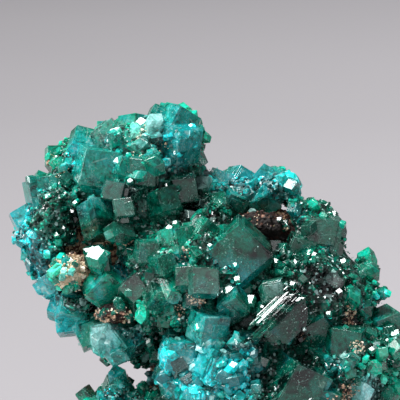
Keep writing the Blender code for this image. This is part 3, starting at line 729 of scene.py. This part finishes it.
def clear_dioptase(name, clearness, fleck_size, line_strength=0.0):
    """Clear dioptase: glassy faces with growth lines, small cracks that show as pale flecks, and a
    painted highlight on some narrow edge strips.
    """
    made, tree, shader, place = new_material(name)
    own = node(tree, "Attribute", attribute_name="in_crystal")["Vector"]
    along = node(tree, "Mapping", {"Vector": own, "Scale": GROWTH_LINES})[0]
    lines = node(tree, "TexNoise", {"Vector": along, "Scale": 1.0, "Detail": 3.0})["Fac"]
    veil = node(tree, "TexNoise", {
        "Vector": place, "Scale": 1.0 / VEIL_SIZE, "Detail": 5.0, "Roughness": 0.6})["Fac"]

    specks = node(tree, "TexNoise", {
        "Vector": place, "Scale": 1.0 / fleck_size, "Detail": 2.0, "Roughness": 0.7})["Fac"]
    specks = node(tree, "MapRange", {
        "Value": specks, "From Min": 0.60, "From Max": 0.66, "To Max": 0.95})[0]
    patches = node(tree, "TexNoise", {
        "Vector": place, "Scale": 1.0 / FLECK_PATCH, "Detail": 2.0})["Fac"]
    patches = node(tree, "MapRange", {"Value": patches, "From Min": 0.42, "From Max": 0.58})[0]
    flecks = node(tree, "Math", (specks, patches), operation="MULTIPLY")[0]

    cracks = node(tree, "TexVoronoi", {
        "Vector": place, "Scale": 1.0 / CRACK_SPACING}, feature="DISTANCE_TO_EDGE")["Distance"]
    cracks = node(tree, "MapRange", {"Value": cracks, "From Min": 0.024, "From Max": 0.008})[0]
    veiled = node(tree, "MapRange", {
        "Value": veil, "From Min": 0.54, "From Max": 0.61, "To Max": 0.6})[0]
    cracks = node(tree, "Math", (cracks, veiled), operation="MULTIPLY")[0]
    flecks = node(tree, "Math", (flecks, cracks), operation="MAXIMUM")[0]

    shade = node(tree, "Attribute", attribute_name="grain_shade")["Fac"]
    lit = node(tree, "MapRange", {
        "Value": shade, "From Min": 0.4, "From Max": 0.9, "To Min": 0.35})[0]
    flecks = node(tree, "Math", (flecks, lit), operation="MULTIPLY")[0]
    # Painted highlight: narrow edge strips are made pale in patches.
    edge = node(tree, "Attribute", attribute_name="painted_edge_highlight")["Fac"]
    highlight_patches = node(tree, "MapRange", {
        "Value": veil, "From Min": 0.50, "From Max": 0.62, "To Max": 0.5})[0]
    edge_highlights = node(tree, "Math", (edge, highlight_patches), operation="MULTIPLY")[0]
    pale = node(tree, "Math", (flecks, edge_highlights), operation="MAXIMUM")[0]
    colour = dioptase_colour(tree, place)
    colour = node(tree, "Mix", {0: pale, 6: colour, 7: FLECK_COLOUR}, data_type="RGBA")[2]

    bump = node(tree, "Bump", {
        "Height": lines, "Strength": line_strength, "Distance": GROWTH_LINE_DEPTH})
    gloss = node(tree, "MapRange", {
        "Value": veil, "From Min": 0.45, "From Max": 0.7, "To Min": 0.03, "To Max": 0.18})[0]
    feed(tree, shader, {
        "Base Color": colour, "Normal": bump["Normal"], "Roughness": gloss,
        "IOR": DIOPTASE_IOR, "Transmission Weight": clearness})
    return made


def end_face(step):
    """Which way an end face looks, and its middle, on a crystal 1 across at its corners."""
    around = math.tau * step / 3.0
    outward = Vector((math.cos(around), math.sin(around), 0.0))
    facing = outward * math.sin(RHOMB_TILT) + Vector((0.0, 0.0, math.cos(RHOMB_TILT)))
    return facing, outward * 0.5


def plate_place(width, plate_width, draw):
    """Where a smaller crystal stands to show as a low plate on a face of a large one."""
    radius = width / math.sqrt(3.0)
    slide = radius - plate_width / math.sqrt(3.0)
    rise = draw.uniform(*PLATE_RISE) * MM
    if draw.random() < PLATES_ON_ENDS:
        facing, middle = end_face(draw.randrange(3))
        along = facing.cross(Vector((0.0, 0.0, 1.0))).normalized()
        offset = along * draw.uniform(-END_PLATE_SLIDE, END_PLATE_SLIDE)
        offset += facing.cross(along) * draw.uniform(-END_PLATE_SLIDE, END_PLATE_SLIDE)
        return middle * slide + offset * slide + facing * rise
    around = math.radians(30.0) + math.tau * draw.randrange(6) / 6.0
    outward = Vector((math.cos(around), math.sin(around), 0.0))
    along = Vector((-outward.y, outward.x, 0.0))
    drop = Vector((0.0, 0.0, draw.uniform(*SIDE_PLATE_DROP) * radius))
    out = outward * ((width - plate_width) * 0.5 + rise)
    return out + along * draw.uniform(-SIDE_PLATE_SLIDE, SIDE_PLATE_SLIDE) * slide + drop


draw = random.Random(LARGE_SEED)
crystals = []
shades = []
large_frames = []
for place, tip, turn, width, length, shade in LARGE_CRYSTALS:
    head = np.array(seen(*place))
    rotation = turned_to(tip, turn)
    broken = draw.randint(*BROKEN_CORNERS)
    shape = cut_crystal(width * MM, length * MM, EDGE_ROUNDING, broken, draw)
    crystals.append((shape, head, rotation, LARGE_SHRINK))
    large_frames.append((head, np.array(rotation), width * MM, length * MM))
    plates = draw.randint(*PLATES)
    for _ in range(plates):
        plate_width = width * MM * draw.uniform(*PLATE_SIZE)
        spot = plate_place(width * MM, plate_width, draw)
        tilt = Matrix.Rotation(draw.gauss(0.0, PLATE_TILT), 3, "X")
        tilt = tilt @ Matrix.Rotation(draw.gauss(0.0, PLATE_TILT), 3, "Y")
        shape = cut_crystal(plate_width, plate_width * PLATE_LENGTH, PLATE_ROUNDING, 0, draw)
        place = head + np.array(rotation @ spot)
        crystals.append((shape, place, rotation @ tilt, LARGE_SHRINK))
    shades += [shade] * (1 + plates)

prism_place, tip, turn, prism_width, _, _ = STRIATED_PRISM
rotation = turned_to(tip, turn)
for number in range(LATHS):
    lath_width = draw.uniform(*LATH_WIDTH)
    lath_length = draw.uniform(*LATH_LENGTH)
    side = (number - (LATHS - 1) / 2.0) * LATH_STEP
    out = -(prism_width - lath_width) / 2.0 - draw.uniform(*LATH_SINK) * lath_width
    spot = Vector((side, out, -draw.uniform(*LATH_DROP))) * MM
    twist = Matrix.Rotation(math.radians(draw.gauss(*LATH_TWIST)), 3, "Z")
    shape = cut_crystal(lath_width * MM, lath_length * MM, 0.0, 0, draw)
    place = np.array(seen(*prism_place)) + np.array(rotation @ spot)
    crystals.append((shape, place, rotation @ twist, LARGE_SHRINK))
    shades.append(LATH_SHADE)

large_crystals = joined_piece("large_crystals", crystals)
point_shades = np.repeat(shades, [len(shape[0]) for shape, _, _, _ in crystals])
keep_growth(large_crystals, read_points(large_crystals.data), shade=point_shades)
large_crystals.data.materials.append(
    clear_dioptase("clear_dioptase", CLEARNESS, LARGE_FLECK, line_strength=0.35))
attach(large_crystals, "root")


# Bright and grey faces.
# Some small crystals of clear dioptase stand just so that an end face flashes back the lamp
# above, or shows the dim room as flat grey. They grew on the crust as the others did.
SHAPE_SEED = 21
PROTOTYPES = 6
SMALL_LENGTH = (1.3, 1.9)
SMALL_ROUNDING = 0.02 * MM
SMALL_FLECK = 0.22 * MM
FACE_RISE = 0.45

# Which way the faces look, then for each its place across and up, width in mm and turn in
# degrees.
LAMP_FACE = (-0.18, 0.59, 0.79)
BRIGHT_FACES = [
    (-12.4, 35.2, 1.0, 20), (-10.8, 32.8, 0.8, 0), (-11.1, 31.7, 0.7, 30),
    (-6.2, 27.3, 0.9, 10), (-5.6, 27.8, 0.7, 50), (2.6, 20.8, 2.2, 0),
    (2.9, 19.0, 1.8, 40), (0.8, 20.4, 1.5, 15), (1.6, 21.3, 0.9, 60),
    (0.4, 19.8, 0.9, 80), (13.8, 19.8, 0.9, 0), (8.2, 20.7, 0.8, 30),
    (-4.6, 10.5, 1.1, 20), (-5.2, 11.4, 0.8, 70), (-8.4, 13.2, 0.8, 0),
    (-9.6, 40.0, 1.4, 10), (11.0, 12.0, 0.6, 0), (16.4, 16.6, 0.8, 20),
    (-19.6, 26.4, 0.7, 0), (17.6, 13.0, 0.8, 0), (19.4, 10.6, 0.9, 30),
    (12.4, 17.2, 0.7, 50), (14.2, 23.2, 0.9, 70), (6.8, 28.2, 0.7, 45),
    (-1.4, 25.2, 0.6, 0), (-17.4, 30.2, 0.7, 10), (10.2, 7.4, 0.7, 0),
    (-15.0, 24.5, 2.4, 25), (-14.6, 14.6, 1.7, 10), (-13.5, 13.8, 1.0, 40),
]
ROOM_FACE = (0.05, 0.12, 0.99)
GREY_FACES = [
    (5.8, 25.3, 2.4, 40), (13.2, 21.4, 1.9, 10), (9.4, 21.6, 1.1, 0),
    (4.6, 12.0, 1.5, 20), (-13.6, 26.6, 1.4, 70), (11.4, 9.4, 1.3, 15),
    (18.6, 11.2, 1.4, 50),
]

shape_draw = random.Random(SHAPE_SEED)


def crystal_models(lengths, rounding):
    """A few crystals 1 mm wide, which many small ones are copied from."""
    return [
        cut_crystal(1.0 * MM, shape_draw.uniform(*lengths) * MM, rounding, 1, shape_draw)
        for _ in range(PROTOTYPES)]


FACE_UP = end_face(0)[0].to_track_quat("Z", "Y").to_matrix().inverted()
FACE_HEIGHT = TIP_ABOVE_HEAD * math.cos(RHOMB_TILT) / math.sqrt(3.0)
small_models = crystal_models(SMALL_LENGTH, SMALL_ROUNDING)
crystals = []
for faced, rows in ((LAMP_FACE, BRIGHT_FACES), (ROOM_FACE, GREY_FACES)):
    outward = seen(*faced).normalized()
    upright = outward.to_track_quat("Z", "Y").to_matrix()
    for right, up, width, turn in rows:
        shape = small_models[len(crystals) % PROTOTYPES]
        place = first_met(right, up) - outward * (FACE_HEIGHT * width - FACE_RISE) * MM
        rotation = upright @ Matrix.Rotation(math.radians(turn), 3, "Z") @ FACE_UP
        crystals.append((shape, np.array(place), rotation, width))
bright_crystals = joined_piece("bright_crystals", crystals)
keep_growth(bright_crystals, read_points(bright_crystals.data))
bright_crystals.data.materials.append(
    clear_dioptase("bright_dioptase", CLEARNESS, SMALL_FLECK, line_strength=0.1))
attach(bright_crystals, "root")


# Small crystals, druse, chips and sugary grains.
# Between the large crystals the crust is covered with thousands of small ones, from specks
# to 2.4 mm, set at all angles, with broken chips and a sugary mass of grains. Some also grew
# in patches on the bare rock. They make the specimen glitter.
SMALL_COUNT = 3000
SMALL_SIZE = (0.8, 2.4)
DRUSE_COUNT = 15000
DRUSE_SIZE = (0.20, 0.85)
DRUSE_LENGTH = (1.2, 2.2)
CHIP_COUNT = 16000
CHIP_SIZE = (0.09, 0.22)
CHIP_CUTS = 4
CHIP_REACH = (0.12, 0.42)
SUGARY_COUNT = 14000
SUGARY_SIZE = (0.3, 1.1)
ROCK_DRUSE_COUNT = 7000
ROCK_DRUSE_SIZE = (0.2, 1.2)
FINE_CLEARNESS = 0.3

# How sizes, shades and cloudiness vary from one to the next, and how milky a milky one is.
SIZE_CURVE = 1.6
SHADE_SPREAD = 0.45
SHADE_LIMITS = (0.1, 2.2)
# Painted shade: how light a grain is deep in a hollow, and how much an open place adds.
HOLLOW_GRAIN_SHADE = 0.3
OPEN_GRAIN_SHADE = 0.9
GRAIN_CLOUDINESS = (0.45, 1.45)
MILKINESS = 0.7

# Where they grow: off the rock and the large crystals by these gaps, more in the sugary mass
# and fewer on turquoise, and on bare rock in patches, of which the front has more.
ROCK_CLEARANCE = 1.1 * MM
CRYSTAL_GAP = 0.05 * MM
SUGARY_OVERGROWTH = 0.8
BARE_ON_TURQUOISE = 0.6
PATCH_SPACING = 4.5 * MM
PATCH_EDGE = 0.16
FRONT_FACING = -0.3
FRONT_PATCHES = 0.34

# Where the dioptase is a sugary mass, and where few small crystals grew.
SUGARY_ZONES = [
    (-6.8, 11.6, 2.8, 0.85), (-3.2, 10.8, 2.8, 0.9), (-0.6, 13.0, 1.8, 0.9),
    (1.6, 10.4, 2.6, 0.8), (-7.4, 8.0, 2.6, 0.9), (-2.6, 8.0, 3.2, 0.9),
    (-9.0, 37.4, 2.6, 0.7), (2.2, 13.6, 1.5, 0.8),
]
SMOOTH_ZONES = [
    (-20.6, 28.4, 3.2, 1.0), (-17.2, 31.0, 1.8, 0.8), (11.6, 19.8, 2.2, 0.5),
]

rock_surface = surface_tree("matrix")
grown_surface = surface_tree("dioptase_crystals")


def strewn(name, count, draw):
    """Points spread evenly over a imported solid's surface, with the way each faces."""
    mesh = frame["nodes"][name].data
    mesh.calc_loop_triangles()
    corners = np.array([triangle.vertices[:] for triangle in mesh.loop_triangles])
    points = read_points(mesh)[corners]
    crosses = np.cross(points[:, 1] - points[:, 0], points[:, 2] - points[:, 0])
    areas = np.linalg.norm(crosses, axis=1)
    normals = crosses / np.maximum(areas, 1e-12)[:, None]
    chosen = draw.choice(len(areas), size=count, p=areas / areas.sum())
    first, second = draw.random((2, count))
    over = first + second > 1.0
    first[over] = 1.0 - first[over]
    second[over] = 1.0 - second[over]
    three = points[chosen]
    spots = (three[:, 0] + first[:, None] * (three[:, 1] - three[:, 0])
             + second[:, None] * (three[:, 2] - three[:, 0]))
    return spots, normals[chosen]


def on_large(spots, margin):
    """Which points lie on or in a large crystal."""
    found = np.zeros(len(spots), bool)
    angles = np.radians(30.0 + np.arange(6) * 60.0)
    sides = np.stack([np.cos(angles), np.sin(angles), np.zeros(6)])
    for head, rotation, width, length in large_frames:
        own = (spots - head) @ rotation
        across = (own @ sides).max(axis=1)
        found |= (across < width / 2.0 + margin) & (own[:, 2] > -length)
    return found


def near_rock(spots):
    """Which points face the rock across the thin gap, out of sight."""
    return np.array([
        rock_surface.find_nearest(Vector(spot), ROCK_CLEARANCE)[0] is not None for spot in spots])


def broken_chip(draw):
    """An angular chip about 1 mm across, as points and faces."""
    only()
    bpy.ops.mesh.primitive_cube_add(size=1.0 * MM)
    bpy.ops.object.mode_set(mode="EDIT")
    for _ in range(CHIP_CUTS):
        facing = Vector([draw.gauss(0.0, 1.0) for _ in range(3)]).normalized()
        cut_off(facing * draw.uniform(*CHIP_REACH) * MM, facing)
    return taken_shape()


def beside_crystals(share):
    """Keep the spots off the large crystals, but for a share of them, and off the hidden gap."""
    def chosen(spots, facing, draw):
        sugary = zone_share(spots, SUGARY_ZONES)
        cloudy = zone_share(spots, TURQUOISE_ZONES) * (1.0 - sugary)
        overgrown = draw.random(len(spots)) < share + SUGARY_OVERGROWTH * sugary
        keep = ~on_large(spots, CRYSTAL_GAP) | overgrown
        keep &= draw.random(len(spots)) > BARE_ON_TURQUOISE * cloudy
        keep &= draw.random(len(spots)) > zone_share(spots, SMOOTH_ZONES)
        return keep & ~near_rock(spots)
    return chosen


def in_sugary_mass(spots, facing, draw):
    """Keep the spots where the dioptase is a mass of small grains."""
    keep = draw.random(len(spots)) < zone_share(spots, SUGARY_ZONES)
    keep[keep] = ~near_rock(spots[keep])
    return keep


def on_bare_rock(spots, facing, draw):
    """Keep the spots of the rock with no dioptase in front of them."""
    return np.array([
        grown_surface.ray_cast(Vector(spot), Vector(normal), OPEN_REACH)[0] is None
        for spot, normal in zip(spots, facing)])


def in_patches(spots, facing, draw):
    """Keep the spots of the bare rock inside a few patches, and more of those in front."""
    patch = np.array([noise.noise(Vector(spot) / PATCH_SPACING) for spot in spots])
    patch[facing[:, 1] < FRONT_FACING] += FRONT_PATCHES
    return on_bare_rock(spots, facing, draw) & (patch > PATCH_EDGE)


def scatter(name, solid, models, count, size_range, rise_range, lean, seed, chosen,
            milky_share=0.04):
    """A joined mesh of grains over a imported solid, in their colours. Each has one end face
    out, tilted at random, and none reaches outside the solids' own box."""
    draw = np.random.default_rng(seed)
    spots, facing = strewn(solid, count, draw)
    keep = chosen(spots, facing, draw)
    crystals = []
    outsides = []
    low, high = size_range
    for spot, normal in zip(spots[keep], facing[keep]):
        size = low * (high / low) ** (draw.random() ** SIZE_CURVE)
        outward = Vector(normal + draw.normal(0.0, lean, 3)).normalized()
        turned = outward.to_track_quat("Z", "Y").to_matrix()
        turned = turned @ Matrix.Rotation(draw.uniform(0.0, math.tau), 3, "Z") @ FACE_UP
        model = models[draw.integers(len(models))]
        rise = draw.uniform(*rise_range) * size - FACE_HEIGHT * size
        place = spot + np.array(outward) * rise * MM
        reach = model[0] * size @ np.array(turned).T + place
        if (reach.min(axis=0) < cad_low).any() or (reach.max(axis=0) > cad_high).any():
            continue
        crystals.append((model, place, turned, size))
        outsides.append(normal)
    piece = joined_piece(name, crystals)
    centres = np.array([place for _, place, _, _ in crystals])
    shade = np.clip(np.exp(draw.normal(0.0, SHADE_SPREAD, len(centres))), *SHADE_LIMITS)
    # Painted shade: grains deep among the others are darker in colour.
    shade *= HOLLOW_GRAIN_SHADE + OPEN_GRAIN_SHADE * openness(centres, np.array(outsides))
    cloudiness = draw.uniform(*GRAIN_CLOUDINESS, len(centres))
    milk = MILKINESS * (draw.random(len(centres)) < milky_share)
    counts = [len(model[0]) for model, _, _, _ in crystals]
    keep_growth(piece, centres, counts, shade, cloudiness, milk)
    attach(piece, "root")
    return piece


druse_models = crystal_models(DRUSE_LENGTH, 0.0)
chip_models = [broken_chip(shape_draw) for _ in range(PROTOTYPES)]

small_crystals = scatter(
    "small_crystals", "dioptase_crystals", small_models, SMALL_COUNT, SMALL_SIZE,
    rise_range=(0.0, 0.2), lean=0.5, seed=21, chosen=beside_crystals(0.05))
druse = scatter(
    "druse", "dioptase_crystals", druse_models, DRUSE_COUNT, DRUSE_SIZE,
    rise_range=(0.0, 0.35), lean=0.8, seed=22, chosen=beside_crystals(0.02))
# Three in ten chips are milky pale: partly milky grains, partly painted glints.
chips = scatter(
    "chips", "dioptase_crystals", chip_models, CHIP_COUNT, CHIP_SIZE,
    rise_range=(0.1, 0.4), lean=1.5, seed=23, chosen=beside_crystals(0.2), milky_share=0.3)
sugary_dioptase = scatter(
    "sugary_dioptase", "dioptase_crystals", druse_models, SUGARY_COUNT, SUGARY_SIZE,
    rise_range=(0.0, 0.4), lean=0.8, seed=27, chosen=in_sugary_mass)
rock_druse = scatter(
    "rock_druse", "matrix", druse_models, ROCK_DRUSE_COUNT, ROCK_DRUSE_SIZE,
    rise_range=(0.0, 0.35), lean=0.8, seed=24, chosen=in_patches)
small_crystals.data.materials.append(
    clear_dioptase("small_dioptase", CLEARNESS, SMALL_FLECK, line_strength=0.3))
for piece, finish in (
        (druse, "druse_dioptase"), (chips, "chip_dioptase"),
        (sugary_dioptase, "sugary_dioptase"), (rock_druse, "rock_druse_dioptase")):
    piece.data.materials.append(clear_dioptase(finish, FINE_CLEARNESS, SMALL_FLECK))


# Rock and calcite grains.
# The matrix is a sugary mix of calcite and stained quartz grains, cream, pink and rust-brown.
# Loose grains of it also lie in patches among the crystals.
ROCK_GRAIN_COUNT = 14000
ROCK_GRAIN_SIZE = (0.14, 0.5)
CALCITE_COUNT = 160000
CALCITE_SIZE = (0.10, 0.36)
CALCITE_EDGE = 0.1
GRAIN_BLOTCH = 2.38 * MM
GRAIN_STAIN_AND_SHADE = 0.5
CALCITE_WHITE = "#F1E6D2"
CALCITE = "#D9C2A0"
CALCITE_PINK = "#C99A80"
RUST = "#4A241A"


def calcite_finish():
    """Dull grains, each its own tone from cream to rust, and darker in the dark zones, partly
    stain and partly painted shade.
    """
    made, tree, shader, place = new_material("calcite_grains")
    shade = node(tree, "Attribute", attribute_name="grain_shade")["Fac"]
    zone = node(tree, "Attribute", attribute_name="growth_zone")["Vector"]
    dark = node(tree, "SeparateXYZ", (zone,))[1]
    blotch = node(tree, "TexNoise", {
        "Vector": place, "Scale": 1.0 / GRAIN_BLOTCH, "Detail": 4.0})["Fac"]
    tone = node(tree, "Math", (shade, blotch), operation="MULTIPLY")[0]
    # Darker in the dark zones: partly stain, partly painted shade in the hollow.
    stain = node(tree, "Math", (dark, GRAIN_STAIN_AND_SHADE), operation="MULTIPLY")[0]
    tone = node(tree, "Math", (tone, stain), operation="SUBTRACT")[0]
    colour = node(tree, "ValToRGB", {"Fac": tone}, (
        (0.03, ROCK_DARK), (0.13, RUST), (0.26, CALCITE_PINK), (0.40, CALCITE),
        (0.75, CALCITE_WHITE)))["Color"]
    feed(tree, shader, {"Base Color": colour, "Roughness": 0.6, "IOR": 1.6})
    return made


def in_calcite(spots, facing, draw):
    """Keep the spots where calcite grains lie."""
    keep = draw.random(len(spots)) < zone_share(spots, CALCITE_ZONES) - CALCITE_EDGE
    keep[keep] = ~near_rock(spots[keep])
    return keep


rock_grains = scatter(
    "rock_grains", "matrix", chip_models, ROCK_GRAIN_COUNT, ROCK_GRAIN_SIZE,
    rise_range=(0.1, 0.5), lean=1.5, seed=25, chosen=on_bare_rock)
calcite_grains = scatter(
    "calcite_grains", "dioptase_crystals", chip_models, CALCITE_COUNT, CALCITE_SIZE,
    rise_range=(0.3, 0.6), lean=1.5, seed=26, chosen=in_calcite)
calcite = calcite_finish()
for piece in (rock_grains, calcite_grains):
    piece.data.materials.append(calcite)


# Studio.
# The specimen stands on a plain pale board. A large soft light hangs overhead, to the left
# and a little in front, a window shines from the left, and a dim card stands by the camera.
FLOOR_SIDE = 8.0
FLOOR_COLOUR = "#A19EA1"
FLOOR_SHADOW = "#9E9B9E"
FLOOR_BLOTCH = 333.0 * MM
ROOM_COLOUR = "#C8C9CE"
ROOM_STRENGTH = 0.30
LIGHT_AIM = (0.0, 0.0, 0.02)

# Name, place in metres, side in metres and power in watts.
LIGHTS = [
    ("overhead_light", (-0.46, -0.18, 1.55), 0.8, 44.0),
    ("front_card", (0.05, -1.2, 0.28), 0.5, 1.0),
    ("left_window", (-1.2, -0.5, 0.5), 0.6, 10.0),
]


def matte_board():
    """Matte grey card, faintly uneven, with painted shade that makes it a little darker toward the
    back and the left.
    """
    made, tree, shader, place = new_material("matte_board")
    uneven = node(tree, "TexNoise", {"Vector": place, "Scale": 1.0 / FLOOR_BLOTCH})["Fac"]
    colour = node(tree, "ValToRGB", {"Fac": uneven}, (
        (0.3, FLOOR_SHADOW), (0.7, FLOOR_COLOUR)))["Color"]
    side = node(tree, "SeparateXYZ", (place,))
    # Painted shade: darker toward the left and the back.
    across = node(tree, "MapRange", {
        "Value": side[0], "From Min": -0.07, "From Max": 0.07, "To Min": 0.86, "To Max": 1.05})[0]
    back = node(tree, "MapRange", {
        "Value": side[1], "From Min": 0.03, "From Max": 0.35, "To Min": 1.07, "To Max": 0.97})[0]
    tone = node(tree, "Math", (across, back), operation="MULTIPLY")[0]
    feed(tree, shader, {
        "Base Color": toned(tree, colour, tone), "Roughness": 0.9, "Specular IOR Level": 0.2})
    return made


only()
bpy.ops.mesh.primitive_plane_add(size=FLOOR_SIDE, location=(0.0, 0.0, 0.0))
floor = bpy.context.object
floor.name = "floor"
floor.data.materials.append(matte_board())


def aim(holder, place, target):
    """Stand a light or a camera at a place, looking at a target."""
    holder.location = place
    holder.rotation_euler = (Vector(target) - Vector(place)).to_track_quat("-Z", "Y").to_euler()


for name, place, side, power in LIGHTS:
    light = bpy.data.lights.new(name, "AREA")
    light.size = side
    light.energy = power
    aim(in_scene(name, light), place, LIGHT_AIM)

room = bpy.data.worlds.new("room")
bpy.context.scene.world = room
room.use_nodes = True
sky = room.node_tree.nodes["Background"]
feed(room.node_tree, sky, {"Color": ROOM_COLOUR, "Strength": ROOM_STRENGTH})
bpy.context.scene.view_settings.view_transform = "Standard"


# Camera.
# It looks down by 8 degrees from 0.4 m with a long lens, as close views of specimens are
# made. The view is 48 mm wide at the specimen, around the middle of the photograph.
CAMERA_DISTANCE = 0.4
VIEW_WIDTH = 48.0 * MM
VIEW_MIDDLE = (-2.64, 30.6, 0.0)
SENSOR_WIDTH = 36.0
NEAREST = 0.01
target = seen(*VIEW_MIDDLE)
lens = bpy.data.cameras.new("camera")
lens.sensor_width = SENSOR_WIDTH
lens.lens = SENSOR_WIDTH * CAMERA_DISTANCE / VIEW_WIDTH
lens.clip_start = NEAREST
camera = in_scene("camera", lens)
aim(camera, target + seen(0.0, 0.0, 1.0).normalized() * CAMERA_DISTANCE, target)
bpy.context.scene.camera = camera
